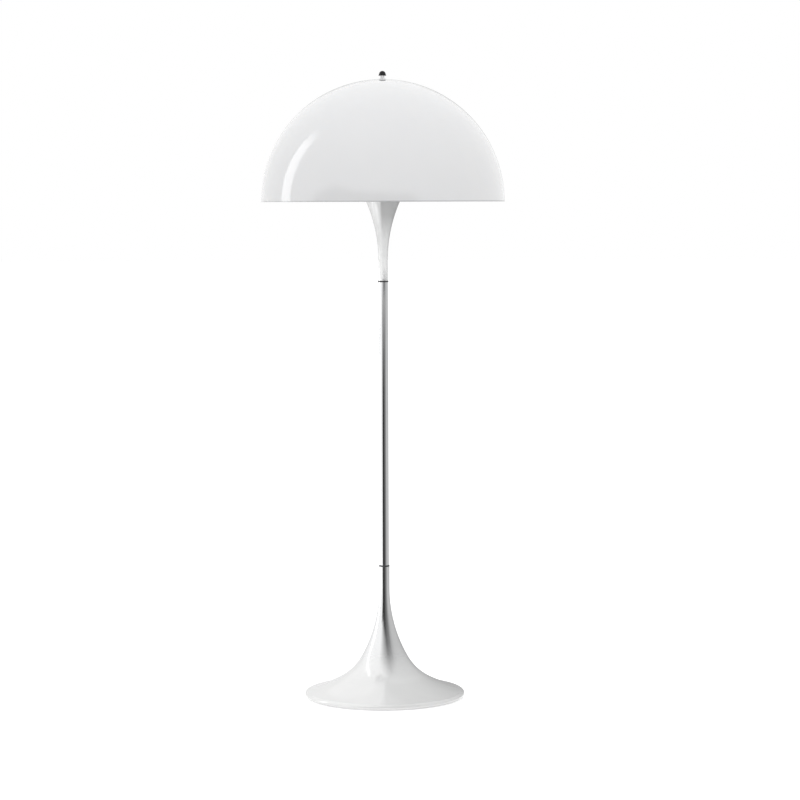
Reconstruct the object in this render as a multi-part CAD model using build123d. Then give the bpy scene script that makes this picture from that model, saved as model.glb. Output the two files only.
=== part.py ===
from build123d import *
from math import asin, cos, degrees, radians, sin, sqrt, tan
import os

# Mushroom floor lamp, in millimetres. +Z is up, the lamp stands on Z = 0 and its axis is the Z axis.
# The mains cord enters at the rear, towards +Y.

# Foot: a trumpet of tangent arcs, from the rounded rim up to the straight neck
base_radius = 166.0
rim_round = 6.7  # radius of the rounded edge
rim_tuck = 40.0  # degrees that the edge rolls under
rim_lift = 1.3  # height of the edge over the floor
rim_slope = 76.5  # degrees from upright where the edge meets the flange
flange_curve = 260.0
flange_angle = 16.4
foot_curve = 118.6
foot_angle = 30.8
neck_radius = 10.6
neck_length = 45.4
base_wall = 2.6
rim_width = 9.0  # solid rim outside the pocket for plate and ballast
ledge_width = 11.0  # flat ledge inside the rim, which the ballast bears on

# Foot: plate, pad and ballast
pad_thickness = 2.0
pad_inset = 13.0  # from the edge of the plate to the pad
pad_hole_gap = 1.5  # around the head of a plate screw
plate_thickness = 2.0
ballast_flange = 5.0
ballast_height = 16.0
ballast_gap = 1.5  # air between ballast and trumpet
hub_wall = 6.0
hub_roof = 12.0
hub_fillet = 4.0
recess_radius = 26.0
cast_clearance = 0.3
plate_screw_distance = 96.0
plate_screw_count = 4
plate_screw_radius = 2.0
plate_screw_head = 3.8
plate_screw_length = 14.0
plate_screw_room = 1.0  # beyond the end of a plate screw

# Cord entry, terminal block and inner flex
cord_bore = 3.1
grommet_wall = 1.5
grommet_lip = 0.9
grommet_lip_length = 1.5
grommet_tail = 9.0  # length inside the rim
cord_slot_width = 12.0
cord_slot_height = 8.0
block_length = 34.0
block_width = 20.0
block_height = 10.0
block_rise = 1.5  # over the plate
block_distance = 70.0  # from the lamp's axis to the middle of the block
block_round = 1.5
block_air = 2.0
pole_count = 3
pole_pitch = 11.0
wire_hole_radius = 1.8
clamp_screw_radius = 1.7
clamp_screw_length = 3.6
clamp_screw_spread = 10.0
flex_radius = 2.3
flex_bend = 23.0
flex_level = 7.0  # over the plate
flex_pocket = 4.0  # depth of the flex in the holder's insulator

# Stem
rod_radius = 5.0
rod_bore = 3.2
rod_end = 2.5  # length of rod that stands out below the lower nut
nut_flats = 14.0
nut_height = 6.0
nut_bevel = 30.0
washer_radius = 9.0
washer_thickness = 1.5
pole_radius = 9.5
pole_wall = 1.5
pole_length = 586.5
ring_radius = 10.8
ring_height = 3.0
ring_round = 0.8
spigot_length = 14.0
fit = 0.1  # radial clearance of a piece seated in another

# Bell: neck, throat and flare
bell_neck_radius = 9.5
bell_neck_length = 40.5
bell_wall = 2.0
throat_curve = 305.0
throat_angle = 22.5
flare_curve = 130.0
flare_angle = 47.0
web_thickness = 6.0
spanner_room = 3.5  # from the upper washer's edge to the bell

# Lampholder for an E27 cap
holder_radius = 19.0
holder_wall = 1.6
holder_round = 4.0
holder_air = 3.0  # between the foot of the holder and the bell
boss_wall = 3.0
boss_height = 9.0
rod_gap = 1.0  # from the top of the rod to the insulator
cap_height = 20.0
insulator_height = 14.0
shell_height = 34.0
shell_lip = 2.0
seat_height = 6.0  # from the foot of the shell to its flange
seat_width = 3.5
seat_thickness = 3.0
socket_radius = 13.5
sleeve_wall = 0.7
sleeve_gap = 1.0  # below the lip of the shell
contact_width = 5.0
contact_thickness = 0.6
contact_rise = 2.4
contact_foot = 6.0
contact_ramp = 3.0
contact_tongue = 5.0

# Bulb: E27 cap and a 60 mm globe
bulb_radius = 30.0
bulb_length = 105.0
bulb_wall = 0.8
bulb_neck_radius = 12.4
bulb_neck_curve = 40.0
bulb_neck_depth = 14.0  # of the glass in the cap
bulb_cap_radius = 13.1
bulb_cap_wall = 0.5
bulb_cap_length = 22.0
bulb_lip_gap = 1.1  # between the cap and the lip of the shell
tip_radius = 4.8
tip_height = 1.4
cone_radius = 6.2
cone_height = 4.0
contact_gap = 0.3

# Shade carrier
carrier_height = 244.8  # from the shell's flange to the top of the boss
carrier_plate = 2.0
carrier_plate_width = 11.0
wire_radius = 1.6
wire_count = 3
wire_inset = 3.2  # from the edge of the ring to the middle of a wire
wire_upright = 10.0
wire_flare = 40.0  # height over the ring at which the wires are upright again
bow_radius = 50.0
wire_bend = 12.0
bow_bend = 37.0
carrier_boss_radius = 13.0
carrier_boss_height = 9.0
carrier_boss_round = 2.0
carrier_nut_width = 4.5
carrier_nut_height = 7.0
grip_count = 12
grip_radius = 1.2
stud_radius = 2.5
stud_length = 16.0
gasket_thickness = 1.0
gasket_hole_gap = 1.5

# Shade
shade_radius = 250.0
shade_wall = 3.0
shade_edge_round = 0.9
shade_hole_gap = 1.5
land_margin = 2.0  # flat seat around the boss and around the washer
seat_gap = 0.1  # between flat faces that part when something lifts or turns

# Finial
cap_washer_radius = 8.0
cap_washer_thickness = 1.0
cap_washer_gap = 0.3
stem_foot_radius = 6.0
stem_foot_height = 0.8
stem_waist_radius = 4.0
stem_flare = 0.8
stem_height = 6.0
stem_spigot = 5.5
thread_clearance = 0.06
knob_radius = 8.2
knob_height = 10.0
knob_taper = 18.0  # degrees that the side leans in
knob_edge = 0.6


def band(inner, outer, bottom, top):
    """The part of a section between two radii and two heights."""
    return Pos((inner + outer) / 2, (bottom + top) / 2) * Rectangle(outer - inner, top - bottom)


def turned(section):
    """A solid of revolution, from a section with x as its radius and y as its height."""
    return revolve(Plane.XZ * section, Axis.Z)


def tube(inner, outer, bottom, top):
    return turned(band(inner, outer, bottom, top))


def rod(radius, bottom, top):
    return tube(0, radius, bottom, top)


def block(size, centre, bottom, top):
    """An upright block with the plan size and centre given."""
    return Pos(*centre, (bottom + top) / 2) * Box(*size, top - bottom)


def rounded(section, corner, radius):
    return fillet(section.vertices().sort_by_distance(corner)[0], radius)


def run_on(start, heading, arcs):
    """Arcs that run on from each other, each (radius, degrees); a positive angle turns left."""
    line = []
    for radius, turn in arcs:
        line.append(JernArc(start, heading, radius, turn))
        start, heading = line[-1] @ 1, line[-1] % 1
    return line


def closed(line, *corners):
    """The face between a line and the straight way back through the corners."""
    return make_face([*line, Polyline(line[-1] @ 1, *corners, line[0] @ 0)])


# Outline of the foot. The last arc takes up the rest of the turn and lands on the neck.
tuck = radians(rim_tuck)
slope = radians(rim_slope)
rim_level = rim_lift + rim_round * sin(tuck)
rim_start = (base_radius - rim_round * (1 - cos(tuck)), rim_lift)
flange_edge = base_radius - rim_round * (1 - cos(slope))
flange_level = rim_level + rim_round * sin(slope)
neck_angle = rim_slope - flange_angle - foot_angle


def foot_line(depth):
    """The foot's surface from the flange's edge to the neck, or one that lies deeper in it."""
    start = (flange_edge - depth * cos(slope), flange_level - depth * sin(slope))
    arcs = [(flange_curve + depth, -flange_angle), (foot_curve + depth, -foot_angle)]
    line = run_on(start, (-sin(slope), cos(slope)), arcs)
    reach = (line[-1] @ 1).X - (neck_radius - depth)
    neck_curve = reach / (1 - cos(radians(neck_angle)))
    return line + run_on(line[-1] @ 1, line[-1] % 1, [(neck_curve, -neck_angle)])


neck_top = (foot_line(0)[-1] @ 1).Y + neck_length


def under_foot_line(depth):
    """Everything below the foot's surface, out to the edge of its flange."""
    line = foot_line(depth)
    return closed(line, (neck_radius - depth, neck_top), (0, neck_top), (0, 0), ((line[0] @ 0).X, 0))


# Radii and heights in the foot
neck_bore = neck_radius - base_wall
pocket_radius = base_radius - rim_width
ledge_radius = pocket_radius - ledge_width
plate_radius = pocket_radius - cast_clearance
pad_radius = plate_radius - pad_inset
plate_top = pad_thickness + plate_thickness
ledge_level = plate_top + ballast_flange
ballast_top = plate_top + ballast_height
block_bottom = plate_top + block_rise
block_top = block_bottom + block_height
hub_radius = recess_radius + hub_wall
grommet_radius = cord_bore + grommet_wall
grommet_level = rim_lift + grommet_radius + fit
grommet_start = pocket_radius - grommet_tail
grommet_end = base_radius + fit + grommet_lip_length

# Heights on the tie rod
rod_hole = rod_radius + fit
flex_height = plate_top + flex_level
rod_bottom = flex_height + flex_bend
lower_nut_bottom = rod_bottom + rod_end
lower_washer_bottom = lower_nut_bottom + nut_height
recess_top = lower_washer_bottom + washer_thickness
hub_top = recess_top + hub_roof
pole_bottom = neck_top + ring_height
pole_top = pole_bottom + pole_length
pole_bore = pole_radius - pole_wall
bell_bottom = pole_top + ring_height
bell_bore = bell_neck_radius - bell_wall
throat_bottom = bell_bottom + bell_neck_length


def throat_level(radius):
    """Height at which the inside of the bell's throat is as wide as the radius given."""
    inner_curve = throat_curve + bell_wall
    return throat_bottom + sqrt(inner_curve**2 - (inner_curve - (radius - bell_bore)) ** 2)


web_bottom = throat_level(washer_radius + spanner_room)
web_top = web_bottom + web_thickness
upper_nut_bottom = web_top + washer_thickness

# Heights and radii in the lampholder and the bulb
holder_bottom = throat_level(holder_radius + holder_air)
holder_bore = holder_radius - holder_wall
boss_top = holder_bottom + boss_height
rod_top = boss_top - rod_gap
insulator_top = boss_top + insulator_height
shell_bottom = holder_bottom + cap_height
shell_top = shell_bottom + shell_height
seat_bottom = shell_bottom + seat_height
seat_top = seat_bottom + seat_thickness
sleeve_top = shell_top - shell_lip - sleeve_gap
tip_bottom = insulator_top + contact_rise + contact_thickness + contact_gap
cone_bottom = tip_bottom + tip_height
cone_top = cone_bottom + cone_height
bulb_cap_bottom = cone_top + seat_gap
bulb_cap_top = bulb_cap_bottom + bulb_cap_length
bulb_centre = tip_bottom + bulb_length - bulb_radius

# Heights and radii at the top
carrier_ring_top = seat_top + carrier_plate
carrier_ring_radius = holder_radius + carrier_plate_width
carrier_top = seat_top + carrier_height
carrier_boss_bottom = carrier_top - carrier_boss_height
stud_top = carrier_top + stud_length
gasket_top = carrier_top + gasket_thickness
shade_bore = shade_radius - shade_wall
shade_land = gasket_top + seat_gap
shade_rim = shade_land - sqrt(shade_bore**2 - (carrier_boss_radius + land_margin) ** 2)
shade_top = shade_rim + sqrt(shade_radius**2 - (cap_washer_radius + land_margin) ** 2)
cap_washer_bottom = shade_top + seat_gap
stem_bottom = cap_washer_bottom + cap_washer_thickness + seat_gap
knob_bottom = stem_bottom + stem_height
stem_top = knob_bottom + stem_spigot


def along_cord(solid):
    """A piece turned about Z, laid along the cord's way out of the foot."""
    return Pos(0, 0, grommet_level) * Rot(X=-90) * solid


def plate_screw_places():
    return PolarLocations(plate_screw_distance, plate_screw_count, start_angle=180 / plate_screw_count)


def countersunk(clearance, length):
    """The space of one plate screw, or the screw itself when the clearance is 0."""
    head = plate_screw_head + clearance
    shank = plate_screw_radius + clearance
    top = pad_thickness + length
    taper = pad_thickness + head - shank
    outline = [(0, pad_thickness), (head, pad_thickness), (shank, taper), (shank, top), (0, top)]
    return turned(make_face(Polyline(*outline, close=True)))


def base_trumpet():
    edge = JernArc(rim_start, (sin(tuck), cos(tuck)), rim_round, rim_tuck + rim_slope)
    corners = (neck_radius, neck_top), (0, neck_top), (0, rim_lift)
    outside = closed([edge, *foot_line(0)], *corners)
    hollow = under_foot_line(base_wall) & band(0, ledge_radius, ledge_level, neck_top)
    pocket = band(0, pocket_radius, 0, ledge_level)
    notch_radius = grommet_radius + fit
    notch = along_cord(rod(notch_radius, ledge_radius, grommet_end))
    reach = grommet_end - ledge_radius
    middle = (0, (grommet_end + ledge_radius) / 2)
    notch += block((2 * notch_radius, reach), middle, 0, grommet_level)
    return turned(outside - hollow - pocket) - notch


def ballast():
    dome = under_foot_line(base_wall + ballast_gap)
    dome &= band(0, ledge_radius - ballast_gap, plate_top, ballast_top)
    hub = band(0, hub_radius, plate_top, hub_top)
    section = dome + hub + band(0, plate_radius, plate_top, ledge_level)
    section = rounded(section, (hub_radius, ballast_top), hub_fillet)
    section = rounded(section, (hub_radius, hub_top), hub_fillet)
    section -= band(0, recess_radius, plate_top, recess_top) + band(0, rod_hole, recess_top, hub_top)
    pocket_size = (block_length + 2 * block_air, block_width + 2 * block_air)
    pocket = block(pocket_size, (0, block_distance), plate_top, block_top)
    channel = block((cord_slot_width, block_distance), (0, block_distance / 2), plate_top, block_top)
    slot_middle = (0, (block_distance + pocket_radius) / 2)
    slot_size = (cord_slot_width, pocket_radius - block_distance)
    slot = block(slot_size, slot_middle, plate_top, plate_top + cord_slot_height)
    hole = countersunk(cast_clearance, plate_screw_length + plate_screw_room)
    holes = [place * hole for place in plate_screw_places()]
    return turned(section) - pocket - channel - slot - holes


def base_plate():
    plate = rod(plate_radius, pad_thickness, plate_top)
    depth = plate_radius - grommet_start + cast_clearance
    notch = block((cord_slot_width, depth), (0, plate_radius - depth / 2), pad_thickness, plate_top)
    holes = [place * countersunk(cast_clearance, plate_screw_length) for place in plate_screw_places()]
    return plate - notch - holes


def base_screws():
    return Compound([place * countersunk(0, plate_screw_length).solid() for place in plate_screw_places()])


def floor_pad():
    hole = rod(plate_screw_head + pad_hole_gap, 0, pad_thickness)
    return rod(pad_radius, 0, pad_thickness) - [place * hole for place in plate_screw_places()]


def cord_grommet():
    body = band(cord_bore, grommet_radius, grommet_start, grommet_end)
    lip = band(cord_bore, grommet_radius + grommet_lip, grommet_end - grommet_lip_length, grommet_end)
    return along_cord(turned(body + lip))


def terminal_places():
    """Middles of the clamping screws: a row for the mains side and one for the flex side."""
    return Pos(0, block_distance, block_bottom) * GridLocations(pole_pitch, clamp_screw_spread, pole_count, 2)


def terminal_block():
    body = block((block_length, block_width), (0, block_distance), block_bottom, block_top)
    body = fillet(body.edges().filter_by(Axis.Z), block_round)
    well = rod(clamp_screw_radius + fit, 0, clamp_screw_length + fit)
    wells = [place * well for place in terminal_places()]
    wire_hole = Rot(X=-90) * rod(wire_hole_radius, 0, block_width)
    row = Pos(0, block_distance - block_width / 2, flex_height) * GridLocations(pole_pitch, 1, pole_count, 1)
    return body - wells - [place * wire_hole for place in row]


def terminal_screws():
    screw = rod(clamp_screw_radius, fit, clamp_screw_length).solid()
    return Compound([place * screw for place in terminal_places()])


def hex_nut(bottom):
    """A nut on the tie rod, bevelled at both faces."""
    corner = nut_flats / sqrt(3)
    flat = nut_flats / 2
    bevel = (corner - flat) * tan(radians(nut_bevel))
    outline = [(0, 0), (flat, 0), (corner, bevel), (corner, nut_height - bevel), (flat, nut_height)]
    crown = turned(make_face(Polyline(*outline, (0, nut_height), close=True)))
    body = extrude(RegularPolygon(corner, 6), nut_height) & crown
    return Pos(0, 0, bottom) * (body - rod(rod_hole, 0, nut_height))


def rod_washer(bottom):
    return tube(rod_hole, washer_radius, bottom, bottom + washer_thickness)


def tie_rod():
    return tube(rod_bore, rod_radius, rod_bottom, rod_top)


def joint_bush(bottom, lower_bore, upper_bore):
    """A ring between two tubes, with a spigot in the bore of each."""
    top = bottom + ring_height
    ring = band(rod_hole, ring_radius, bottom, top)
    for corner in ((ring_radius, bottom), (ring_radius, top)):
        ring = rounded(ring, corner, ring_round)
    lower_spigot = band(rod_hole, lower_bore - fit, bottom - spigot_length, bottom)
    upper_spigot = band(rod_hole, upper_bore - fit, top, top + spigot_length)
    return turned(ring + lower_spigot + upper_spigot)


def pole_tube():
    return tube(pole_bore, pole_radius, pole_bottom, pole_top)


def bell_line(depth):
    """The bell's surface from the neck to the edge of the flare, or one that lies inside it."""
    arcs = [(throat_curve + depth, -throat_angle), (flare_curve + depth, -flare_angle)]
    return run_on((bell_neck_radius - depth, throat_bottom), (0, 1), arcs)


def bell():
    outer = bell_line(0)
    inner = bell_line(bell_wall)
    lip = JernArc(outer[-1] @ 1, outer[-1] % 1, bell_wall / 2, 180)
    foot = [(bell_neck_radius, bell_bottom), (bell_bore, bell_bottom)]
    neck = Polyline(outer[0] @ 0, *foot, inner[0] @ 0)
    wall = make_face([*outer, lip, *inner, neck])
    inside = closed(outer, (0, (outer[-1] @ 1).Y), (0, throat_bottom))
    web = inside & band(rod_hole, holder_radius, web_bottom, web_top)
    return turned(wall + web)


def holder_cap():
    floor = holder_bottom + holder_wall
    outside = band(0, holder_radius, holder_bottom, shell_bottom)
    outside = rounded(outside, (holder_radius, holder_bottom), holder_round)
    inside = band(0, holder_bore, floor, shell_bottom)
    inside = rounded(inside, (holder_bore, floor), holder_round - holder_wall)
    boss = band(0, rod_radius + boss_wall, holder_bottom, boss_top)
    return turned(outside - inside + boss - band(0, rod_hole, holder_bottom, boss_top))


def holder_insulator():
    puck = band(0, holder_bore - cast_clearance, boss_top, insulator_top)
    return turned(puck - band(0, rod_bore, boss_top, boss_top + flex_pocket))


def holder_shell():
    wall = band(holder_bore, holder_radius, shell_bottom, shell_top)
    flange = band(holder_radius, holder_radius + seat_width, seat_bottom, seat_top)
    lip = band(bulb_cap_radius + bulb_lip_gap, holder_radius, shell_top - shell_lip, shell_top)
    section = rounded(wall + flange + lip, (holder_radius, shell_top), shell_lip / 2)
    return turned(section)


def thread_sleeve():
    return tube(socket_radius, socket_radius + sleeve_wall, insulator_top, sleeve_top)


def centre_contact():
    """A strip on the insulator, bent up to a tongue under the bulb's tip."""
    ramp_end = contact_ramp / 2
    lower = [(-ramp_end - contact_foot, 0), (-ramp_end, 0), (ramp_end, contact_rise)]
    lower.append((ramp_end + contact_tongue, contact_rise))
    upper = [(x, z + contact_thickness) for x, z in reversed(lower)]
    strip = make_face(Polyline(*lower, *upper, close=True))
    return Pos(0, 0, insulator_top) * extrude(Plane.YZ * strip, contact_width / 2, both=True)


def internal_flex():
    """The flex, from the terminal block into the rod and up to the holder's insulator."""
    start = (0, block_distance - block_width / 2, flex_height)
    end = (0, 0, boss_top + flex_pocket)
    path = FilletPolyline(start, (0, 0, flex_height), end, radius=flex_bend)
    return sweep(Plane(path @ 0, z_dir=path % 0) * Circle(flex_radius), path)


def bulb_tip():
    button = band(0, tip_radius, tip_bottom, cone_bottom)
    button = rounded(button, (tip_radius, tip_bottom), tip_height / 2)
    outline = [(0, cone_bottom), (cone_radius, cone_bottom), (bulb_cap_radius, cone_top), (0, cone_top)]
    return turned(button + make_face(Polyline(*outline, close=True)))


def bulb_cap():
    return tube(bulb_cap_radius - bulb_cap_wall, bulb_cap_radius, bulb_cap_bottom, bulb_cap_top)


def bulb_glass():
    """A thin envelope: a globe that runs down to the neck on a curve of the other sense."""
    reach = bulb_radius + bulb_neck_curve
    drop = sqrt(reach**2 - (bulb_neck_radius + bulb_neck_curve) ** 2)
    swing = 90 + degrees(asin(drop / reach))
    bottom = bulb_cap_top - bulb_neck_depth
    surfaces = []
    for depth in (0, bulb_wall):
        arcs = [(bulb_neck_curve + depth, 90 - swing), (bulb_radius - depth, swing)]
        surfaces.append(run_on((bulb_neck_radius - depth, bulb_centre - drop), (0, 1), arcs))
    outer, inner = (closed(line, (0, bottom), ((line[0] @ 0).X, bottom)) for line in surfaces)
    return turned(outer - inner)


def wire_path():
    """The bow of one wire, from the ring on the holder round the bulb to the boss."""
    wire_foot = carrier_ring_radius - wire_inset
    wire_top = carrier_top - carrier_boss_height / 2
    points = [
        (wire_foot, seat_top + carrier_plate / 2),
        (wire_foot, carrier_ring_top + wire_upright),
        (bow_radius, carrier_ring_top + wire_flare),
        (bow_radius, wire_top),
        (carrier_boss_radius / 2, wire_top),
    ]
    return Plane.XZ * FilletPolyline(*points, radius=[wire_bend, wire_bend, bow_bend])


def shade_carrier():
    ring = band(holder_radius + fit, carrier_ring_radius, seat_top, carrier_ring_top)
    boss = band(0, carrier_boss_radius, carrier_boss_bottom, carrier_top)
    boss = rounded(boss, (carrier_boss_radius, carrier_boss_bottom), carrier_boss_round)
    stud = band(0, stud_radius, carrier_top, stud_top)
    path = wire_path()
    wire = sweep(Plane(path @ 0, z_dir=path % 0) * Circle(wire_radius), path)
    wires = [place * wire for place in PolarLocations(0, wire_count, start_angle=90)]
    return turned(ring) + turned(boss + stud) + wires


def carrier_nut():
    outer = holder_radius + carrier_nut_width
    top = carrier_ring_top + carrier_nut_height
    grips = PolarLocations(outer, grip_count)
    grooves = [place * rod(grip_radius, carrier_ring_top, top) for place in grips]
    return tube(holder_radius + fit, outer, carrier_ring_top, top) - grooves


def shade_gasket():
    return tube(stud_radius + gasket_hole_gap, carrier_boss_radius, carrier_top, gasket_top)


def shade():
    """A half globe with a flat seat inside and outside at the hole in its top."""
    outside = Pos(0, shade_rim) * Circle(shade_radius) & band(0, shade_radius, shade_rim, shade_top)
    inside = Pos(0, shade_rim) * Circle(shade_bore) & band(0, shade_bore, shade_rim, shade_land)
    section = outside - inside - band(0, stud_radius + shade_hole_gap, shade_land, shade_top)
    for radius in (shade_bore, shade_radius):
        section = rounded(section, (radius, shade_rim), shade_edge_round)
    return turned(section)


def finial_washer():
    top = cap_washer_bottom + cap_washer_thickness
    return tube(stud_radius + cap_washer_gap, cap_washer_radius, cap_washer_bottom, top)


def finial_neck():
    """A waisted sleeve on the stud, with a spigot that holds the knob."""
    foot_top = stem_bottom + stem_foot_height
    bore = stud_radius + thread_clearance
    spigot = stem_waist_radius - fit
    flare = stem_waist_radius + stem_flare
    waist = ThreePointArc(
        (flare, knob_bottom),
        (stem_waist_radius, (foot_top + knob_bottom) / 2),
        (flare, foot_top),
    )
    foot = [(flare, foot_top), (stem_foot_radius, foot_top), (stem_foot_radius, stem_bottom)]
    inner = [(bore, stem_bottom), (bore, stem_top), (spigot, stem_top), (spigot, knob_bottom)]
    return turned(make_face([waist, Polyline(*foot, *inner, (flare, knob_bottom))]))


def finial_knob():
    """A small dome: a leaning side that runs on into a round top."""
    lean = radians(knob_taper)
    dome = (knob_radius - knob_height * tan(lean)) / (cos(lean) - tan(lean) * (1 - sin(lean)))
    top = knob_bottom + knob_height
    shoulder = (dome * cos(lean), top - dome * (1 - sin(lean)))
    crown = JernArc(shoulder, (-sin(lean), cos(lean)), dome, 90 - knob_taper)
    section = closed([crown], (0, knob_bottom), (knob_radius, knob_bottom))
    section = rounded(section, (knob_radius, knob_bottom), knob_edge)
    return turned(section - band(0, stem_waist_radius, knob_bottom, stem_top + fit))


nodes = {
    "base_trumpet": base_trumpet(),
    "ballast": ballast(),
    "base_plate": base_plate(),
    "base_screws": base_screws(),
    "floor_pad": floor_pad(),
    "cord_grommet": cord_grommet(),
    "terminal_block": terminal_block(),
    "terminal_screws": terminal_screws(),
    "rod_washer": rod_washer(lower_washer_bottom),
    "rod_nut": hex_nut(lower_nut_bottom),
    "tie_rod": tie_rod(),
    "lower_joint_bush": joint_bush(neck_top, neck_bore, pole_bore),
    "pole_tube": pole_tube(),
    "upper_joint_bush": joint_bush(pole_top, pole_bore, bell_bore),
    "bell": bell(),
    "bell_washer": rod_washer(web_top),
    "bell_nut": hex_nut(upper_nut_bottom),
    "holder_cap": holder_cap(),
    "holder_insulator": holder_insulator(),
    "holder_shell": holder_shell(),
    "thread_sleeve": thread_sleeve(),
    "centre_contact": centre_contact(),
    "internal_flex": internal_flex(),
    "bulb_tip": bulb_tip(),
    "bulb_cap": bulb_cap(),
    "bulb_glass": bulb_glass(),
    "shade_carrier": shade_carrier(),
    "carrier_nut": carrier_nut(),
    "shade_gasket": shade_gasket(),
    "shade": shade(),
    "finial_washer": finial_washer(),
    "finial_neck": finial_neck(),
    "finial_knob": finial_knob(),
}

os.makedirs("parts", exist_ok=True)
for name, solid in nodes.items():
    export_step(solid, f"parts/{name}.step")

print(f"rim of the shade at {shade_rim:.1f}, top of the knob at {knob_bottom + knob_height:.1f}")
print(f"flex: bend radius {flex_bend:.1f}, volume {nodes['internal_flex'].volume:.0f}")
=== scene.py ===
import bmesh
import bpy
from math import cos, pi, radians, sin, tau
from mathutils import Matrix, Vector


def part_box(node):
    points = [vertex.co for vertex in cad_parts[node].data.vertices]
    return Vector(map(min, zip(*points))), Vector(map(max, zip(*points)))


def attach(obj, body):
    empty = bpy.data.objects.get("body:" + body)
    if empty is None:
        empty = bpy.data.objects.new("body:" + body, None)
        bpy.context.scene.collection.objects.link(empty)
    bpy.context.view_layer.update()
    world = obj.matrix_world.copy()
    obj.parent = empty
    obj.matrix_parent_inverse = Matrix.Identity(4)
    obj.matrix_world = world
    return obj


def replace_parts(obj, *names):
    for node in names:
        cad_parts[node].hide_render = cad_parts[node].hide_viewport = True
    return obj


# Mushroom floor lamp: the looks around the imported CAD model, in metres, lamp standing on z = 0.
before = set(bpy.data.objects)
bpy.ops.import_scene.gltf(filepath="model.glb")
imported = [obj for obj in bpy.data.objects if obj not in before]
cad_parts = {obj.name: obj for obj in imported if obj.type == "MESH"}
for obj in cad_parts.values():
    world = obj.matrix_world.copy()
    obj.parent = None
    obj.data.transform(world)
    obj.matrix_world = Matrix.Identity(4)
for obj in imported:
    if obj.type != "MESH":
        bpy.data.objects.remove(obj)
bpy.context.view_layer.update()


def newObject(name, data):
    thing = bpy.data.objects.new(name, data)
    bpy.context.scene.collection.objects.link(thing)
    return thing


# Where the photograph was taken from, found from the outlines of the foot and of the shade's rim.
view = {
    "distance": 5.3459,
    "height": 1.0269,
    "aside": 0.0352,  # to the right of the lamp's axis
    "pitch": 4.379,  # degrees down
    "roll": 0.2,  # degrees; the picture was taken a little off level
    "lens": 116.81,  # for a frame 36 mm wide
    "frameWidth": 36,
    "reach": 200,
}
camera = newObject("camera", bpy.data.cameras.new("camera"))
camera.location = (view["aside"], -view["distance"], view["height"])
camera.rotation_euler = (radians(90 - view["pitch"]), radians(view["roll"]), 0)
camera.data.sensor_width = view["frameWidth"]
camera.data.lens = view["lens"]
camera.data.clip_end = view["reach"]
bpy.context.scene.camera = camera
bpy.context.scene.view_settings.view_transform = "Standard"
print("camera ready")


class Field:  # a value that changes over a surface; arithmetic on it adds Math nodes
    def __init__(self, tree, socket):
        self.tree = tree
        self.socket = socket

    def math(self, operation, other, swapped=False):
        first, second = (other, self) if swapped else (self, other)
        return self.tree.add("ShaderNodeMath", {"operation": operation}, {0: first, 1: second})

    def __add__(self, other):
        return self.math("ADD", other)

    def __radd__(self, other):
        return self.math("ADD", other)

    def __sub__(self, other):
        return self.math("SUBTRACT", other)

    def __rsub__(self, other):
        return self.math("SUBTRACT", other, True)

    def __mul__(self, other):
        return self.math("MULTIPLY", other)

    def __rmul__(self, other):
        return self.math("MULTIPLY", other)

    def __truediv__(self, other):
        return self.math("DIVIDE", other)

    def __rtruediv__(self, other):
        return self.math("DIVIDE", other, True)


class Tree:  # the nodes of one material, or of the world
    def __init__(self, owner):
        owner.use_nodes = True
        self.owner = owner
        self.nodes = owner.node_tree.nodes
        self.links = owner.node_tree.links
        self.nodes.clear()

    def add(self, kind, settings=None, sockets=None, out=0):
        node = self.nodes.new(kind)
        for name, value in (settings or {}).items():
            if name == "stops":
                fillRamp(node.color_ramp, value)
            else:
                setattr(node, name, value)
        for name, value in (sockets or {}).items():
            if isinstance(value, Field):
                self.links.new(value.socket, node.inputs[name])
            else:
                node.inputs[name].default_value = value
        return Field(self, node.outputs[out]) if node.outputs else None

    def place(self):
        return self.add("ShaderNodeTexCoord", out="Object")

    def height(self):
        return self.add("ShaderNodeSeparateXYZ", sockets={0: self.place()}, out="Z")

    def stretched(self, scale):
        return self.add("ShaderNodeVectorMath", {"operation": "MULTIPLY"}, {0: self.place(), 1: scale})

    def noise(self, scale, detail, rough=0.5, vector=None):  # scale in waves per metre
        vector = vector or self.place()
        return self.add("ShaderNodeTexNoise", {}, {
            "Vector": vector, "Scale": scale, "Detail": detail, "Roughness": rough})

    def ramp(self, value, stops):
        return self.add("ShaderNodeValToRGB", {"stops": stops}, {0: value})

    def between(self, value, low, high):  # 0 below low, 1 above high, smooth in between
        return self.add("ShaderNodeMapRange", {"interpolation_type": "SMOOTHSTEP"}, {
            "Value": value, "From Min": low, "From Max": high})

    def colours(self, mask, first, second):
        return self.add("ShaderNodeMix", {"data_type": "RGBA"}, {0: mask, 6: first, 7: second}, 2)

    def bump(self, height, depth, strength):
        return self.add("ShaderNodeBump", {}, {
            "Strength": strength, "Distance": depth, "Height": height})

    def finish(self, sockets):
        skin = self.add("ShaderNodeBsdfPrincipled", {}, sockets)
        self.add("ShaderNodeOutputMaterial", {}, {"Surface": skin})
        return self.owner


def fillRamp(ramp, stops):
    while len(ramp.elements) > 1:
        ramp.elements.remove(ramp.elements[-1])
    for number, (position, value) in enumerate(stops):
        stop = ramp.elements.new(position) if number else ramp.elements[0]
        stop.position = position
        stop.color = grey(value)


def newTree(name):
    return Tree(bpy.data.materials.new(name))


def grey(value):
    return (value, value, value, 1)


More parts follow.
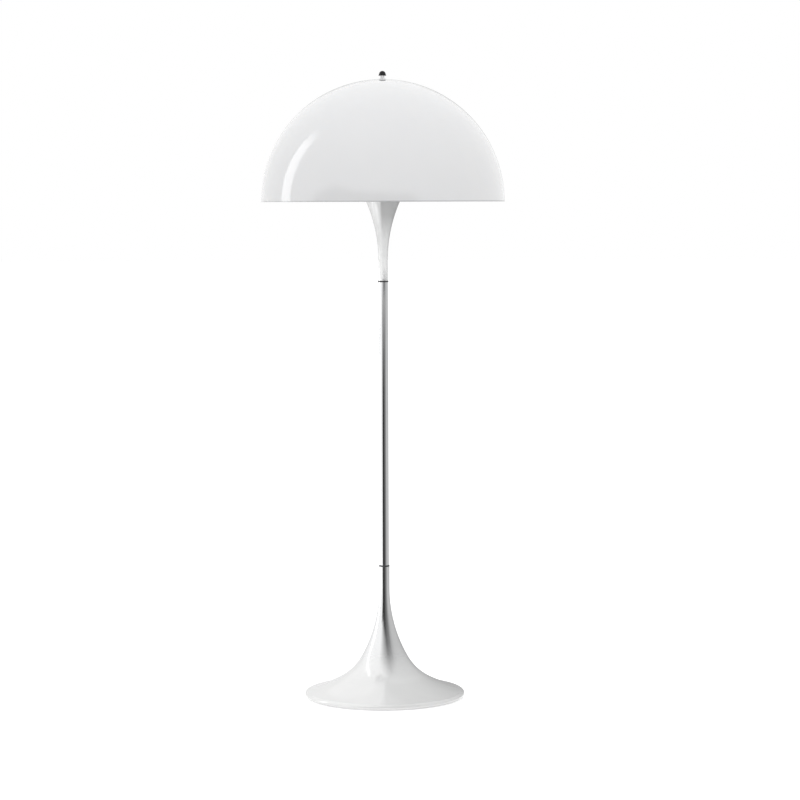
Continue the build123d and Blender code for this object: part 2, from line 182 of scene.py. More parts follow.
enamel = {
    "white": (0.90, 0.90, 0.895, 1),
    "thinWhite": (0.86, 0.865, 0.86, 1),  # where the coat is thinner
    "patch": (0.35, 0.7),  # of the drift, from the first white to the second
    "steel": (0.90, 0.905, 0.91, 1),
    "driftScale": 9,
    "drift": 0.01,  # metres that the metal's edge wanders up and down
    "rough": 0.14,
    "roughSpread": 0.08,
    "roughScale": 40,
    "coatRough": 0.04,
    "peelScale": 170,  # of the orange peel
    "peelDepth": 0.00003,
    "peelRelief": 0.5,
}


def enamelFinish(name, shadeMetal):
    # White stove enamel with random patches of a second white. The second argument gives a share of bare
    # metal by height, set where the foot's neck and the bell should look darker: painted shade, the dark
    # cards mirrored in the metal, not a worn or thin coat.
    tree = newTree(name)
    drift = tree.noise(enamel["driftScale"], 3)
    white = tree.colours(tree.between(drift, *enamel["patch"]), enamel["white"], enamel["thinWhite"])
    low, high = shadeMetal[0][0], shadeMetal[-1][0]
    reach = (tree.height() + (drift - 0.5) * enamel["drift"] - low) / (high - low)
    # painted shade: the share of bare metal by height, which mirrors the dark cards where the surface should
    # look darker
    shadeMetalShare = tree.ramp(reach, [((height - low) / (high - low), share) for height, share in shadeMetal])
    peel = tree.noise(enamel["peelScale"], 1)
    return tree.finish({
        "Base Color": tree.colours(shadeMetalShare, white, enamel["steel"]),
        "Metallic": shadeMetalShare,
        "Roughness": enamel["rough"] + (tree.noise(enamel["roughScale"], 4) - 0.5) * enamel["roughSpread"],
        "Coat Weight": 1 - shadeMetalShare,
        "Coat Roughness": enamel["coatRough"],
        "Normal": tree.bump(peel, enamel["peelDepth"], enamel["peelRelief"]),
    })


tubeSteel = {
    "colour": (0.90, 0.905, 0.91, 1),
    "dull": (0.86, 0.87, 0.885, 1),
    "patch": (0.4, 0.75),
    "cloudScale": 14,
    "rough": 0.10,
    "lineRough": 0.06,
    "cloudRough": 0.04,
    "lines": (900, 900, 7),  # waves per metre across and along the tube
    "lineDepth": 0.000004,
    "lineRelief": 0.4,
}


def tubeFinish():
    # Polished steel tube with faint draw lines along its length.
    tree = newTree("polishedTube")
    lines = tree.noise(1, 3, 0.6, tree.stretched(tubeSteel["lines"]))
    cloud = tree.noise(tubeSteel["cloudScale"], 3)
    dull = tree.between(cloud, *tubeSteel["patch"])
    rough = tubeSteel["rough"] + (lines - 0.5) * tubeSteel["lineRough"]
    return tree.finish({
        "Base Color": tree.colours(dull, tubeSteel["colour"], tubeSteel["dull"]),
        "Metallic": 1.0,
        "Roughness": rough + (cloud - 0.5) * tubeSteel["cloudRough"],
        "Normal": tree.bump(lines, tubeSteel["lineDepth"], tubeSteel["lineRelief"]),
    })


opal = {
    "colour": (0.90, 0.902, 0.91, 1),
    "cloud": (0.88, 0.884, 0.895, 1),
    "cloudScale": 4,
    "patch": (0.35, 0.7),
    "edge": (0.60, 0.605, 0.615, 1),  # painted shade along the rim's lowest edge
    "rim": 1.0270,
    "rimShadeBand": 0.0022,
    "through": 0.4,  # share of the light that wanders through the sheet
    "wander": 0.004,
    "wanderTint": (1.0, 0.97, 0.93),
    "rough": 0.11,
    "roughSpread": 0.04,
    "roughScale": 60,
    "coat": 0.93,
    "coatSpread": 0.1,
    "coatRough": 0.03,
    "bend": 1.49,  # acrylic's refractive index
    "waveScale": 16,
    "waveDepth": 0.0004,
    "waveRelief": 0.15,
}


def opalFinish():
    # Gloss opal acrylic, milky all through, with the faint waves of a blown dome.
    tree = newTree("opalAcrylic")
    cloud = tree.noise(opal["cloudScale"], 3)
    wave = tree.noise(opal["waveScale"], 1)
    milk = tree.colours(tree.between(cloud, *opal["patch"]), opal["colour"], opal["cloud"])
    # painted shade: the lowest few millimetres above the rim take the darker edge tone
    rim = tree.between(tree.height(), opal["rim"], opal["rim"] + opal["rimShadeBand"])
    return tree.finish({
        "Base Color": tree.colours(rim, opal["edge"], milk),
        "Subsurface Weight": opal["through"],
        "Subsurface Radius": opal["wanderTint"],
        "Subsurface Scale": opal["wander"],
        "Roughness": opal["rough"] + (tree.noise(opal["roughScale"], 3) - 0.5) * opal["roughSpread"],
        "IOR": opal["bend"],
        "Coat Weight": opal["coat"] + (cloud - 0.5) * opal["coatSpread"],
        "Coat Roughness": opal["coatRough"],
        "Normal": tree.bump(wave, opal["waveDepth"], opal["waveRelief"]),
    })


plain = {
    "spread": 6,  # the clouds are this much coarser than the grain, and the relief this much finer
    "patch": (0.4, 0.7),
    "cloudRough": 0.1,
    "fineRough": 0.06,
    "coatRough": 0.05,
    "relief": 0.6,
}


def plainFinish(name, colour, worn, rough, metal=0.0, grain=90, depth=0.00002, coat=0.0, shine=0.5):
    # A colour with its worn tone in clouds, and a fine grain in gloss and relief.
    tree = newTree(name)
    cloud = tree.noise(grain / plain["spread"], 4)
    fine = tree.noise(grain * plain["spread"], 3)
    return tree.finish({
        "Base Color": tree.colours(tree.between(cloud, *plain["patch"]), (*colour, 1), (*worn, 1)),
        "Metallic": metal,
        "Roughness": rough + (cloud - 0.5) * plain["cloudRough"] + (fine - 0.5) * plain["fineRough"],
        "Specular IOR Level": shine,
        "Coat Weight": coat,
        "Coat Roughness": plain["coatRough"],
        "Normal": tree.bump(fine, depth, plain["relief"]),
    })


felt = {
    "dark": (0.075, 0.077, 0.082, 1),
    "pale": (0.19, 0.195, 0.205, 1),
    "patch": (0.3, 0.7),
    "fibreScale": 900,
    "tuftScale": 160,
    "depth": 0.0004,
    "rough": 0.9,
    "roughSpread": 0.15,
    "fuzz": 0.5,
    "fuzzRough": 0.5,
    "relief": 0.8,
}


def feltFinish():
    tree = newTree("greyFelt")
    fibre = tree.noise(felt["fibreScale"], 5, 0.7)
    tuft = tree.noise(felt["tuftScale"], 4, 0.6)
    return tree.finish({
        "Base Color": tree.colours(tree.between(fibre, *felt["patch"]), felt["dark"], felt["pale"]),
        "Roughness": felt["rough"] + (fibre - 0.5) * felt["roughSpread"],
        "Sheen Weight": felt["fuzz"],
        "Sheen Roughness": felt["fuzzRough"],
        "Normal": tree.bump(fibre + tuft, felt["depth"], felt["relief"]),
    })


# Share of bare metal by height for the foot and the bell, set where they should look darker: painted shade
# through the gloss, not a worn coat.
shadeMetalByHeight = {
    "foot": [(0.0, 0.08), (0.02, 0.13), (0.048, 0.22), (0.06, 0.36), (0.073, 0.5), (0.094, 0.8),
             (0.114, 0.95), (0.15, 1)],
    "bell": [(0.864, 0.75), (0.893, 0.12), (0.95, 0.06), (1.0, 0.42), (1.1, 0.42)],
}
finishes = {
    "footEnamel": enamelFinish("footEnamel", shadeMetalByHeight["foot"]),
    "bellEnamel": enamelFinish("bellEnamel", shadeMetalByHeight["bell"]),
    "tube": tubeFinish(),
    "opal": opalFinish(),
    "felt": feltFinish(),
    "ring": plainFinish("darkRing", (0.05, 0.05, 0.053), (0.085, 0.085, 0.09), 0.38, grain=120),
    "knob": plainFinish("blackGloss", (0.004, 0.004, 0.005), (0.009, 0.009, 0.010), 0.14, shine=0.3),
    "trim": plainFinish("brightTrim", (0.98, 0.98, 0.985), (0.94, 0.94, 0.95), 0.22, metal=0.08),
    "blackSheet": plainFinish("blackSheet", (0.02, 0.02, 0.021), (0.045, 0.044, 0.043), 0.5, grain=70),
    "castIron": plainFinish("castIron", (0.035, 0.034, 0.033), (0.075, 0.06, 0.05), 0.7, metal=0.4,
                            grain=60, depth=0.0006),
    "zinc": plainFinish("zincSteel", (0.62, 0.64, 0.66), (0.52, 0.53, 0.5), 0.32, metal=1.0),
    "rubber": plainFinish("whiteRubber", (0.78, 0.78, 0.76), (0.7, 0.7, 0.67), 0.55),
    "phenolic": plainFinish("whitePhenolic", (0.84, 0.83, 0.8), (0.78, 0.77, 0.73), 0.25, coat=0.4),
    "ceramic": plainFinish("ceramic", (0.82, 0.8, 0.75), (0.75, 0.72, 0.66), 0.6, depth=0.0001),
    "brass": plainFinish("brass", (0.8, 0.62, 0.3), (0.66, 0.47, 0.22), 0.24, metal=1.0),
    "cap": plainFinish("spunAluminium", (0.78, 0.78, 0.79), (0.68, 0.68, 0.69), 0.3, metal=1.0),
    "darkGlass": plainFinish("darkGlass", (0.012, 0.012, 0.014), (0.03, 0.03, 0.032), 0.2, coat=0.6),
    "bulbGlass": plainFinish("opalGlass", (0.9, 0.895, 0.875), (0.88, 0.872, 0.85), 0.16, coat=0.5),
    "wire": plainFinish("coatedWire", (0.86, 0.86, 0.85), (0.8, 0.8, 0.79), 0.3, coat=0.3),
    "gasket": plainFinish("paleRubber", (0.75, 0.75, 0.74), (0.68, 0.68, 0.66), 0.5),
    "brownCore": plainFinish("brownCore", (0.16, 0.06, 0.03), (0.12, 0.045, 0.022), 0.45),
    "blueCore": plainFinish("blueCore", (0.05, 0.14, 0.42), (0.04, 0.11, 0.34), 0.45),
    "earthCore": plainFinish("earthCore", (0.32, 0.5, 0.06), (0.55, 0.5, 0.05), 0.45),
    "polyamide": plainFinish("polyamide", (0.8, 0.79, 0.72), (0.74, 0.72, 0.64), 0.45),
}
nodeFinish = {
    "base_trumpet": "footEnamel", "bell": "bellEnamel", "pole_tube": "tube", "shade": "opal",
    "lower_joint_bush": "ring", "upper_joint_bush": "ring", "finial_knob": "knob", "finial_neck": "trim",
    "finial_washer": "trim", "base_plate": "blackSheet", "ballast": "castIron", "base_screws": "zinc",
    "floor_pad": "felt", "cord_grommet": "rubber", "terminal_block": "polyamide", "terminal_screws": "zinc",
    "rod_washer": "zinc", "rod_nut": "zinc", "tie_rod": "zinc", "bell_washer": "zinc", "bell_nut": "zinc",
    "holder_cap": "phenolic", "holder_shell": "phenolic", "carrier_nut": "phenolic",
    "holder_insulator": "ceramic", "thread_sleeve": "brass", "centre_contact": "brass",
    "internal_flex": "rubber", "bulb_tip": "darkGlass", "bulb_cap": "cap", "bulb_glass": "bulbGlass",
    "shade_carrier": "wire", "shade_gasket": "gasket",
}


def paint(piece, finish):
    if piece.material_slots:
        for slot in piece.material_slots:
            slot.material = finishes[finish]
    else:
        piece.data.materials.append(finishes[finish])


for node, finish in nodeFinish.items():
    paint(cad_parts[node], finish)
print(len(finishes), "finishes on", len(nodeFinish), "nodes")


# What the pieces beyond the CAD model are made with.
def along(value, stops):  # straight lines between the stops, flat beyond them
    if value <= stops[0][0]:
        return stops[0][1]
    for (low, first), (high, second) in zip(stops, stops[1:]):
        if value <= high:
            return first + (second - first) * (value - low) / (high - low)
    return stops[-1][1]


def newPiece(name, data, finish, body="stand"):
    piece = newObject(name, data)
    data.materials.append(finishes[finish])
    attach(piece, body)
    return piece


def newMesh(name, points, faces):
    mesh = bpy.data.meshes.new(name)
    mesh.from_pydata(points, [], faces)
    return mesh


def smoothMesh(name, points, faces):
    mesh = newMesh(name, points, faces)
    mesh.update()
    mesh.shade_smooth()
    return mesh


def closedMesh(name, shape):  # from bmesh, with every face turned outwards
    bmesh.ops.recalc_face_normals(shape, faces=shape.faces)
    mesh = bpy.data.meshes.new(name)
    shape.to_mesh(mesh)
    shape.free()
    return mesh


def bridge(shape, loops):  # walls from each loop of points to the next
    for low, high in zip(loops, loops[1:]):
        count = len(low)
        for n in range(count):
            shape.faces.new((low[n], low[(n + 1) % count], high[(n + 1) % count], high[n]))


def loopEdges(shape, loop):
    return [shape.edges.get((loop[n], loop[(n + 1) % len(loop)])) for n in range(len(loop))]


def spun(outline, count):
    # points and faces of a turned piece; outline gives (radius, height) at each step for a turn
    points, faces = [], []
    for step in range(count):
        turn = tau * step / count
        points += [(r * cos(turn), r * sin(turn), z) for r, z in outline(turn)]
    size = len(points) // count
    for step in range(count):
        here, after = step * size, (step + 1) % count * size
        for spot in range(size):
            ahead = (spot + 1) % size
            faces.append((here + spot, after + spot, after + ahead, here + ahead))
    return points, faces


thread = {
    "lead": 0.00362,
    "capRadius": 0.0131,
    "capDepth": 0.0009,
    "capWall": 0.00035,
    "capFade": [(0, 0), (0.0015, 1), (0.006, 1), (0.0075, 0.27), (0.0165, 0.27), (0.0185, 0)],
    "sleeveRadius": 0.0135,
    "sleeveDepth": 0.0003,
    "sleeveWall": 0.00035,
    "sleeveFade": [(0.001, 0), (0.003, 1)],
    "rows": 130,
    "steps": 72,
}


def wave(turn, height):  # 0 on a thread's crest and 1 in its groove, one turn a lead, right-handed
    return 0.5 - 0.5 * cos(tau * (height / thread["lead"] - turn / tau))


def threadRows(node):  # lowest and highest point of a threaded node, and the heights of its rows
    low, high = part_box(node)[0][2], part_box(node)[1][2]
    return low, high, [low + (high - low) * row / thread["rows"] for row in range(thread["rows"] + 1)]


def capOutline(turn):
    low, high, heights = threadRows("bulb_cap")
    outer = []
    for z in heights:
        depth = thread["capDepth"] * along(z - low, thread["capFade"])
        outer.append((thread["capRadius"] - depth * wave(turn, z), z))
    return outer + [(r - thread["capWall"], z) for r, z in reversed(outer)]


def sleeveOutline(turn):
    low, high, heights = threadRows("thread_sleeve")
    inner = []
    for z in heights:
        depth = thread["sleeveDepth"] * along(min(z - low, high - z), thread["sleeveFade"])
        inner.append((thread["sleeveRadius"] + depth * wave(turn, z), z))
    return [(r + thread["sleeveWall"], z) for r, z in reversed(inner)] + inner


cap = newPiece("threadedCap", smoothMesh("threadedCap", *spun(capOutline, thread["steps"])),
               "cap", "bulb")
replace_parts(cap, "bulb_cap")
sleeve = newPiece("threadedSleeve", smoothMesh("threadedSleeve", *spun(sleeveOutline, thread["steps"])),
                  "brass")
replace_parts(sleeve, "thread_sleeve")
print("threads cut")

pad = {
    "radius": 0.1437,
    "thick": 0.002,
    "edge": 0.0005,
    "hole": 0.0053,
    "screwRing": 0.096,
    "screwTurns": [radians(45 + 90 * n) for n in range(4)],
    "rimPoints": 144,
    "holePoints": 36,
}


def feltPad():
    shape = bmesh.new()
    ends = ([], [])
    ring = pad["screwRing"]
    places = [(0, 0, pad["radius"], pad["rimPoints"])]
    places += [(ring * cos(turn), ring * sin(turn), pad["hole"], pad["holePoints"])
               for turn in pad["screwTurns"]]
    for x, y, radius, count in places:
        soft = -pad["edge"] if radius > pad["hole"] else pad["edge"]
        levels = [(radius + soft, 0), (radius, pad["edge"]), (radius, pad["thick"] - pad["edge"]),
                  (radius + soft, pad["thick"])]
        loops = [[shape.verts.new((x + r * cos(tau * n / count), y + r * sin(tau * n / count), z))
                  for n in range(count)] for r, z in levels]
        bridge(shape, loops)
        for end, loop in zip(ends, (loops[0], loops[-1])):
            end += loopEdges(shape, loop)
    for edges in ends:
        bmesh.ops.triangle_fill(shape, use_beauty=True, edges=edges)
    piece = newPiece("feltPad", closedMesh("feltPad", shape), "felt")
    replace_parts(piece, "floor_pad")


feltPad()
print("felt pad laid")

screw = {
    "under": 0.002,  # height of the head's flat
    "head": 0.0038,
    "headTall": 0.0018,
    "chamfer": 0.0001,
    "shank": 0.002,
    "groove": 0.00025,
    "pitch": 0.0014,
    "smooth": 0.001,  # of the shank, next to the head
    "taper": 0.0012,  # length of the pointed end
    "end": 0.016,
    "endRadius": 0.0008,
    "crossLong": 0.0021,
    "crossWide": 0.0006,
    "crossDeep": 0.0012,
    "crossFloor": (0.45, 0.7),  # its size at the bottom, beside its mouth
    "rings": 40,
    "count": 36,
}


def screwLevels():  # radius and height of each ring, and the height where the head ends
    bottom, radius, bevel = screw["under"], screw["head"], screw["chamfer"]
    shoulder = bottom + screw["headTall"]
    length = screw["end"] - screw["taper"] - shoulder
    levels = [(radius - bevel, bottom), (radius, bottom + bevel), (screw["shank"], shoulder)]
    levels += [(screw["shank"], shoulder + length * k / screw["rings"]) for k in range(1, screw["rings"] + 1)]
    return levels + [(screw["endRadius"], screw["end"])], shoulder


def screwRing(shape, middle, radius, height, shoulder):
    ring = []
    for k in range(screw["count"]):
        turn = tau * k / screw["count"]
        bite = 0
        if shoulder + screw["smooth"] < height < screw["end"]:
            bite = screw["groove"] * (0.5 - 0.5 * cos(tau * (height / screw["pitch"] - k / screw["count"])))
        spoke = Vector(((radius - bite) * cos(turn), (radius - bite) * sin(turn), height))
        ring.append(shape.verts.new(middle + spoke))
    return ring


def crossScrews():
    # four countersunk screws with cross recesses, heads down, in the plate
    shape = bmesh.new()
    long, wide = screw["crossLong"], screw["crossWide"]
    plus = [(long, -wide), (long, wide), (wide, wide), (wide, long), (-wide, long), (-wide, wide),
            (-long, wide), (-long, -wide), (-wide, -wide), (-wide, -long), (wide, -long), (wide, -wide)]
    mouth = screw["under"]
    deepX, deepY = screw["crossFloor"]
    levels, shoulder = screwLevels()
    for turn in pad["screwTurns"]:
        middle = Vector((cos(turn), sin(turn), 0)) * pad["screwRing"]
        tip = Vector((0, 0, mouth + screw["crossDeep"]))
        rim = [shape.verts.new(middle + Vector((x, y, mouth))) for x, y in plus]
        deep = [shape.verts.new(middle + tip + Vector((x * deepX, y * deepY, 0))) for x, y in plus]
        bridge(shape, [rim, deep])
        shape.faces.new(deep)
        loops = [screwRing(shape, middle, r, z, shoulder) for r, z in levels]
        bridge(shape, loops)
        shape.faces.new(loops[-1])
        edges = loopEdges(shape, rim) + loopEdges(shape, loops[0])
        bmesh.ops.triangle_fill(shape, use_beauty=True, edges=edges)
    piece = newPiece("crossScrews", closedMesh("crossScrews", shape), "zinc")
    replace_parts(piece, "base_screws")


crossScrews()
print("plate screws in")

flex = {
    # the jacket's route, and the bare cores that run on into the terminal block
    "route": [(0, 0.0585, 0.011), (0, 0.046, 0.011), (0, 0, 0.011), (0, 0, 0.057), (0, 0, 1.0107)],
    "thick": 0.0046,
    "coreThick": 0.0012,
    "cores": {"brownCore": -0.011, "blueCore": 0.011, "earthCore": 0.0},  # aside, at the block
    "coreStart": (0.09, -0.001),  # aside as a share of the way there, and back inside the jacket
    "coreBow": 0.5,
    "mouth": (0.0605, 0.011),  # of the block's bores, y and z
    "into": 0.004,
    "roundness": 5,
    "smoothness": 16,
}


def cordCurve(name, route, thick, finish):
    curve = bpy.data.curves.new(name, "CURVE")
    curve.dimensions = "3D"
    curve.bevel_depth = thick / 2
    curve.bevel_resolution = flex["roundness"]
    curve.use_fill_caps = True
    line = curve.splines.new("NURBS")
    line.points.add(len(route) - 1)
    for spot, place in zip(line.points, route):
        spot.co = (*place, 1)
    line.order_u = 3
    line.use_endpoint_u = True
    line.resolution_u = flex["smoothness"]
    return newPiece(name, curve, finish)


def coreRoute(aside):
    share, back = flex["coreStart"]
    start = Vector(flex["route"][0]) + Vector((aside * share, back, 0))
    mouth = Vector((aside, *flex["mouth"]))
    bow = start.lerp(Vector((aside * flex["coreBow"], *flex["mouth"])), 0.5)
    return [tuple(place) for place in (start, bow, mouth, mouth + Vector((0, flex["into"], 0)))]


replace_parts(cordCurve("innerFlex", flex["route"], flex["thick"], "rubber"), "internal_flex")
for core, aside in flex["cores"].items():
    cordCurve(core, coreRoute(aside), flex["coreThick"], core)
print("flex drawn in")

weld = {
    "wires": [radians(90 + 120 * n) for n in range(3)],
    "wire": 0.0016,
    "bead": 0.0007,
    "ripple": 0.12,
    "ripples": 9,
    "flat": 0.8,  # a bead's height beside its width
    "foot": 0.0268,
    "ringTop": 1.0287,
    "bossRadius": 0.013,
    "bossHeight": 1.2670,
    "rounds": 40,
    "around": 10,
}


def weldBeads():  # a bead round both ends of each wire, on the ring and on the boss
    points, faces = [], []
    rounds, around = weld["rounds"], weld["around"]
    up = Vector((0, 0, 1))
    for turn in weld["wires"]:
        out = Vector((cos(turn), sin(turn), 0))
        across = out.cross(up)
        for middle, normal, side in ((out * weld["foot"] + up * weld["ringTop"], up, out),
                                     (out * weld["bossRadius"] + up * weld["bossHeight"], out, up)):
            first = len(points)
            for k in range(rounds):
                a = tau * k / rounds
                spoke = side * cos(a) + across * sin(a)
                fat = weld["bead"] * (1 + weld["ripple"] * cos(weld["ripples"] * a))
                for m in range(around):
                    b = tau * m / around
                    proud = normal * fat * weld["flat"] * sin(b)
                    points.append(middle + spoke * (weld["wire"] + fat * cos(b)) + proud)
            for k in range(rounds):
                near, far = first + k * around, first + (k + 1) % rounds * around
                for m in range(around):
                    after = (m + 1) % around
                    faces.append((near + m, near + after, far + after, far + m))
    newPiece("wireWelds", smoothMesh("wireWelds", points, faces), "wire")


weldBeads()
print("wires welded")

# The studio: a white floor and room, four softboxes, and graded cards for the reflections.
studio = {
    "floorRadius": 40.0,
    "floorSides": 64,
    "floorShade": 0.86,
    "floorLift": 0.5,
    "ambient": 0.765,  # of the room, for light that is scattered
    "aim": (0, 0, 0.6),  # where the softboxes point
    "boxPower": 4,  # watts from a square metre of softbox at level 1
}


def seenDirectly(tree):
    # 1 for what the camera sees, also in a mirror or through glass, and 0 for scattered light
    rays = [tree.add("ShaderNodeLightPath", out=name) for name in
            ("Is Camera Ray", "Is Glossy Ray", "Is Transmission Ray")]
    return rays[0] + rays[1] + rays[2]


def makeFloor():
    radius, sides = studio["floorRadius"], studio["floorSides"]
    points = [(radius * cos(tau * n / sides), radius * sin(tau * n / sides), 0) for n in range(sides)]
    floor = newObject("floor", newMesh("floor", points, [range(sides)]))
    tree = newTree("paleFloor")
    matt = tree.add("ShaderNodeBsdfDiffuse", {}, {"Color": grey(studio["floorShade"])})
    lift = tree.add("ShaderNodeEmission", {}, {"Strength": seenDirectly(tree) * studio["floorLift"]})
    both = tree.add("ShaderNodeAddShader", {}, {0: matt, 1: lift})
    tree.add("ShaderNodeOutputMaterial", {}, {"Surface": both})
    floor.data.materials.append(tree.owner)


def makeWorld():
    world = bpy.data.worlds.new("studio")
    bpy.context.scene.world = world
    tree = Tree(world)
    seen = seenDirectly(tree)
    strength = seen + (1 - seen) * studio["ambient"]
    air = tree.add("ShaderNodeBackground", {}, {"Color": grey(1), "Strength": strength})
    tree.add("ShaderNodeOutputWorld", {}, {"Surface": air})


softboxes = {
    # azimuth in degrees to the right of the camera, height of the middle, distance from the axis,
    # width and height, brightness beside a white card, what it is kept to, and whether it
    # passes the other pieces
    "overhead": {"azimuth": -20, "rise": 3.6, "far": 0.4, "size": (3.0, 3.0), "level": 0.42, "only": ()},
    "leftKey": {"azimuth": -80, "rise": 2.4, "far": 2.4, "size": (1.6, 1.6), "level": 1.2,
                "only": ("base_trumpet", "bell", "pole_tube", "floor")},
    "neckLight": {"azimuth": 12, "rise": 3.2, "far": 1.6, "size": (1.0, 1.0), "level": 13.0,
                  "only": ("bell",), "past": True},
    "lowFill": {"azimuth": -12, "rise": 0.3, "far": 3.0, "size": (2.5, 0.5), "level": 1.4,
                "only": ("base_trumpet",)},
}


def makeSoftbox(name, box):
    width, height = box["size"]
    light = bpy.data.lights.new(name, "AREA")
    light.shape = "RECTANGLE"
    light.size = width
    light.size_y = height
    light.energy = studio["boxPower"] * width * height * box["level"]
    lamp = newObject(name, light)
    turn = radians(box["azimuth"])
    lamp.location = (box["far"] * sin(turn), -box["far"] * cos(turn), box["rise"])
    lamp.rotation_euler = (Vector(studio["aim"]) - lamp.location).to_track_quat("-Z", "Y").to_euler()
    lamp.visible_glossy = False
    lamp.visible_camera = False
    if box["only"]:
        lit = bpy.data.collections.new(name + "Lit")
        for piece in box["only"]:
            lit.objects.link(bpy.data.objects[piece] if piece == "floor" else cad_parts[piece])
        lamp.light_linking.receiver_collection = lit
        if box.get("past"):
            lamp.light_linking.blocker_collection = lit


# Graded cards that only gloss sees, for the dark and pale bands along the foot, pole and shade.
# Azimuths in degrees to the right of the camera, seen from the lamp; brightness 1 is white.
stem = {
    "tones": [(0, 0.03), (17, 0.11), (43, 0.25), (58, 0.44), (71, 0.54), (110, 0.56), (135, 0.5),
              (160, 0.36), (172, 0.38), (184, 0.86), (226, 0.86), (233, 1)],  # on round the back
    "flatTone": 0.2,
    "floorMost": 0.82,  # never quite white, so that edges seen from above stand out
}
# a card's path has its radius and height, where its dark part starts and is darkest, its least
# brightness, and how far it is one flat tone
nearPath = [(1.15, 0.0, -48, -39, 0, 0), (1.15, 0.12, -43, -34, 0, 0), (1.15, 0.5, -37, -28, 0, 0)]
farPath = [(2.3, 0.2, -37, -28, 0, 0), (2.3, 0.44, -36, -27, 0, 0), (2.3, 0.65, -34, -25, 0.27, 0),
           (2.3, 0.77, -34, -25, 0.5, 0), (2.3, 0.79, -34, -25, 0.5, 0), (2.3, 0.8, -33, -15, 0, 0),
           (1.95, 1.02, -33, 5, 0, 0), (1.45, 1.02, -33, 15, 0, 0)]
canopyPath = [(1.2, 0.8, -33, 15, 0, 0), (1.0, 0.865, -33, 20, 0, 0), (0.7, 0.865, -33, 27, 0, 0),
              (0.45, 0.865, -30, 36, 0.1, 0), (0.25, 0.865, -28, 50, 0.3, 0), (0.1, 0.865, -25, 70, 0.5, 0)]
bellPath = [(1.0, 0.885, -31, -12, 0, 0.6), (0.4, 0.885, -31, -12, 0, 1), (0.1, 0.885, -31, -12, 0, 1)]
floorPath = [(0.176, 0.004, -33, 15, 0, 0), (0.45, 0.006, -33, 15, 0, 0), (1.15, 0.008, -48, -39, 0, 0)]


def stemTone(turn, spot):
    start, core, least, flat = spot[2:]
    tone = along(turn, stem["tones"])
    tone += (stem["flatTone"] - tone) * flat
    return 1 + (max(tone, least) - 1) * along(turn, [(start, 0), (core, 1)])


def floorTone(turn, spot):
    return min(stemTone(turn, spot), stem["floorMost"])


hump = {
    "line": [(-72, 0), (-60, 0.13), (-45, 0.25), (-30, 0.17), (28, 0.12), (36, 0)],  # slope by azimuth
    "rim": 1.04,  # height that the slope counts from
    "edge": [(-0.05, 0.05), (0.05, 1)],  # brightness across the line
}


def humpTone(turn, spot):  # a dark hump low on the left, which only the shade sees
    slope = (spot[1] - hump["rim"]) / spot[0]
    return along(slope - along(turn, hump["line"]), hump["edge"])


lampTube = {
    "line": [(-1.4, 0.2), (-0.93, 0.09), (-0.62, 0.03), (-0.45, -0.02), (-0.34, 0.02)],  # x and y
    "parts": 20,  # between two of its points
    "glow": [(0.012, 2.2), (0.028, 1)],  # brightness by distance from its line
}


def placeOn(step, points):  # a place on a line through the points, step counted in points
    part = min(int(step), len(points) - 2)
    return Vector(points[part]).lerp(Vector(points[part + 1]), step - part)


def tubeTone(turn, spot):  # a lamp tube over the foot, seen in its gloss as one upright streak
    here = Vector((spot[0] * sin(radians(turn)), -spot[0] * cos(radians(turn))))
    line, parts = lampTube["line"], lampTube["parts"]
    near = min((here - placeOn(step / parts, line)).length for step in range(parts * (len(line) - 1) + 1))
    return along(near, lampTube["glow"])


def whiteTone(turn, spot):
    return 1.0


limb = {
    "shade": [(164, 0), (172, 0.5), (180, 0.3), (187, 0.5), (193, 0)],  # by azimuth
    "fade": [(1.5, 1), (2.6, 0)],  # by height
}


def limbTone(turn, spot):  # a grey stand behind the shade, which darkens its outline
    return 1 - along(turn, limb["shade"]) * along(spot[1], limb["fade"])


stripGlow = [(3.0, 2.7), (4.4, 1.0)]  # brightness by height


def stripTone(turn, spot):  # the tall light at the left, a bright crescent in the shade
    return along(spot[1], stripGlow)


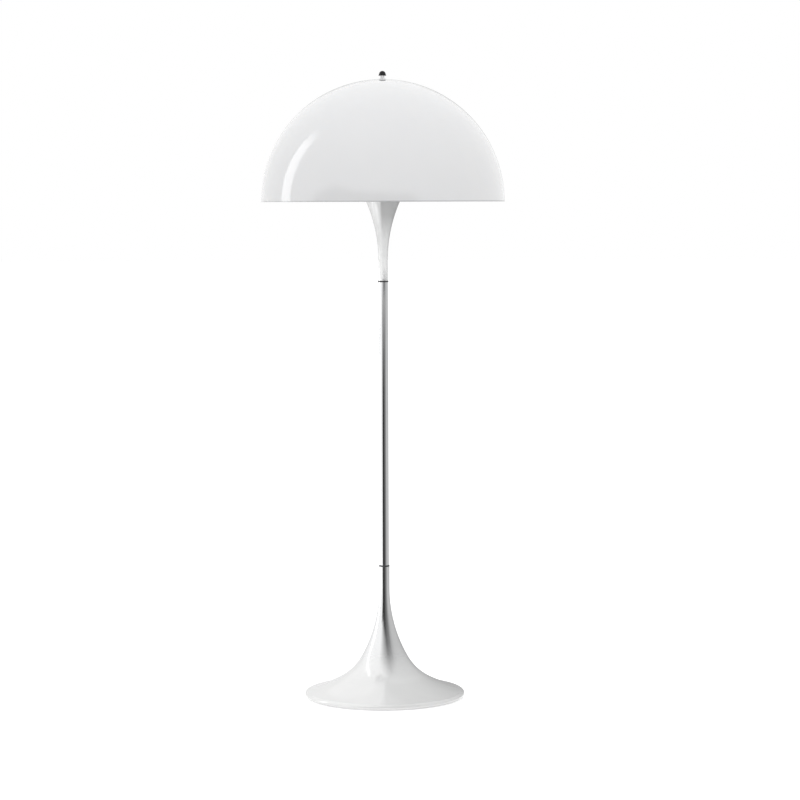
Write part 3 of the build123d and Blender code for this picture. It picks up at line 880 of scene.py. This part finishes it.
cards = {
    "floorCard": {"turns": (-50, 310), "path": floorPath, "tone": floorTone},
    "nearCard": {"turns": (-50, 233), "path": nearPath, "tone": stemTone},
    "farCard": {"turns": (-38, 233), "path": farPath, "tone": stemTone},
    "canopyCard": {"turns": (-34, 233), "path": canopyPath, "tone": stemTone},
    "bellCard": {"turns": (-32, 178), "path": bellPath, "tone": stemTone},
    "humpCard": {"turns": (-76, 40), "path": [(8.0, 1.0), (8.0, 3.6)], "tone": humpTone},
    "humpScreen": {"turns": (-80, -34), "path": [(2.0, 0.0), (2.0, 0.9)], "tone": whiteTone},
    "leftStrip": {"turns": (-106, -93), "path": [(3.0, 0.0), (3.0, 4.4)], "tone": stripTone},
    "stripScreen": {"turns": (-135, -60), "path": [(1.6, 0.95), (0.5, 0.95)], "tone": whiteTone},
    "tubeCard": {"turns": (-160, -75), "path": [(1.5, 0.7), (0.2, 0.7)], "tone": tubeTone},
    "limbCard": {"turns": (163, 194), "path": [(3.2, 0.95), (3.2, 2.6)], "tone": limbTone},
}
cardGrid = {"least": 6, "bent": 24, "straight": 96}  # fewest columns, and rows for each part of a path


def makeCard(name, card):
    low, high = card["turns"]
    path = card["path"]
    across = max(cardGrid["least"], round(high - low))
    steps = cardGrid["bent" if len(path) > 2 else "straight"]
    points, faces, tones = [], [], []
    for row in range(steps * (len(path) - 1) + 1):
        spot = [along(row / steps, list(enumerate(column))) for column in zip(*path)]
        for step in range(across + 1):
            turn = low + (high - low) * step / across
            points.append((spot[0] * sin(radians(turn)), -spot[0] * cos(radians(turn)), spot[1]))
            tones.append(card["tone"](turn, spot))
            if row and step:
                corner = len(points) - 1
                faces.append((corner, corner - 1, corner - across - 2, corner - across - 1))
    mesh = newMesh(name, points, faces)
    mesh.attributes.new("tone", "FLOAT", "POINT").data.foreach_set("value", tones)
    piece = newObject(name, mesh)
    tree = newTree(name)
    tone = tree.add("ShaderNodeAttribute", {"attribute_name": "tone"}, out="Fac")
    glow = tree.add("ShaderNodeEmission", {}, {"Color": tone, "Strength": 1.0})
    tree.add("ShaderNodeOutputMaterial", {}, {"Surface": glow})
    mesh.materials.append(tree.owner)
    for ray in ("camera", "diffuse", "shadow", "transmission", "volume_scatter"):
        setattr(piece, "visible_" + ray, False)


makeFloor()
makeWorld()
for name, box in softboxes.items():
    makeSoftbox(name, box)
for name, card in cards.items():
    makeCard(name, card)
print("studio ready:", len(softboxes), "softboxes,", len(cards), "cards")
